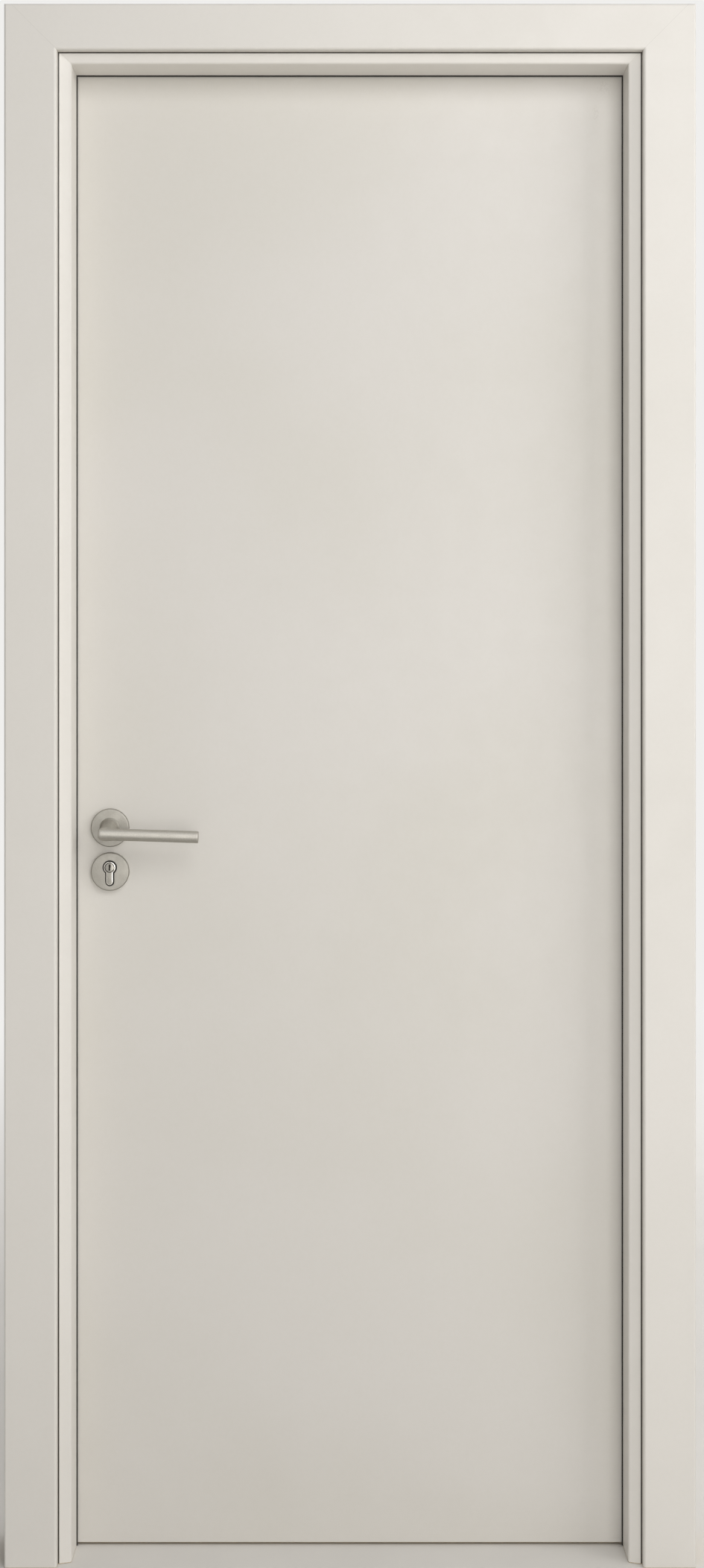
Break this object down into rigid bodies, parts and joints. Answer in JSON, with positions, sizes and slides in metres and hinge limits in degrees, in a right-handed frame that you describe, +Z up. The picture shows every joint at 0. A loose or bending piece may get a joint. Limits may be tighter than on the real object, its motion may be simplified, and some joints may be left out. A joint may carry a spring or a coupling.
{
  "type": "composite interior door set",
  "caption": "Flush composite door leaf in a rebated jamb with flat casings, butt hinges, a round-rose lever and a profile cylinder.",
  "frame": {"origin": "on the wall face of the hinge-side jamb, at floor level, at the jamb's front edge", "axes": "+Z up, +X out of the hinge-side jamb into the wall, +Y from the front to the back, the way the leaf opens"},
  "size_m": [0.94, 0.1722, 2.125],
  "materials": {
    "leaf_film": "matte warm off-white film",
    "jamb_film": "matte warm off-white film",
    "casing_film": "matte warm off-white film",
    "leaf_composite": "raw wood-polymer composite",
    "seal": "dark grey soft seal",
    "satin_nickel": "satin",
    "hinge_steel": "satin",
    "lock_steel": "brushed",
    "cylinder_nickel": "polished nickel"
  },
  "bodies": {
    "frame": {"casing_back_head": "casing_film", "casing_back_hinge_side": "casing_film", "casing_back_lock_side": "casing_film", "casing_front_head": "casing_film", "casing_front_hinge_side": "casing_film", "casing_front_lock_side": "casing_film", "head_jamb": "jamb_film", "hinge_bottom_frame_plate": "hinge_steel", "hinge_bottom_pin": "hinge_steel", "hinge_middle_frame_plate": "hinge_steel", "hinge_middle_pin": "hinge_steel", "hinge_top_frame_plate": "hinge_steel", "hinge_top_pin": "hinge_steel", "jamb_hinge_side": "jamb_film", "jamb_lock_side": "jamb_film", "seal_head": "seal", "seal_hinge_side": "seal", "seal_lock_side": "seal", "strike_plate": "lock_steel"},
    "leaf": {"cylinder_plug_back": "cylinder_nickel", "cylinder_plug_front": "cylinder_nickel", "cylinder_rose_back": "satin_nickel", "cylinder_rose_front": "satin_nickel", "deadbolt": "lock_steel", "handle_rose_back": "satin_nickel", "handle_rose_front": "satin_nickel", "hinge_bottom_leaf_plate": "hinge_steel", "hinge_middle_leaf_plate": "hinge_steel", "hinge_top_leaf_plate": "hinge_steel", "key_cylinder": "cylinder_nickel", "latch_bolt": "lock_steel", "leaf_back_skin": "leaf_film", "leaf_bottom_rail": "leaf_composite", "leaf_core": "leaf_composite", "leaf_front_skin": "leaf_film", "leaf_hinge_stile": "leaf_film", "leaf_lock_stile": "leaf_film", "leaf_top_rail": "leaf_composite", "lock_case": "lock_steel", "lock_faceplate": "lock_steel"},
    "handle": {"lever_front": "satin_nickel", "lever_back": "satin_nickel", "spindle": "lock_steel"}
  },
  "joints": [
    {"name": "leaf_swing", "type": "hinge", "parent": "frame", "child": "leaf", "pos_m": [-0.0275, 0.109, 1.03], "axis": [0, 0, -1], "range_deg": [0, 100]},
    {"name": "lever_turn", "type": "hinge", "parent": "leaf", "child": "handle", "pos_m": [-0.7535, 0.081, 1], "axis": [0, 1, 0], "range_deg": [0, 40], "stiffness_Nm_per_rad": 2, "springref_deg": -20.05}
  ]
}
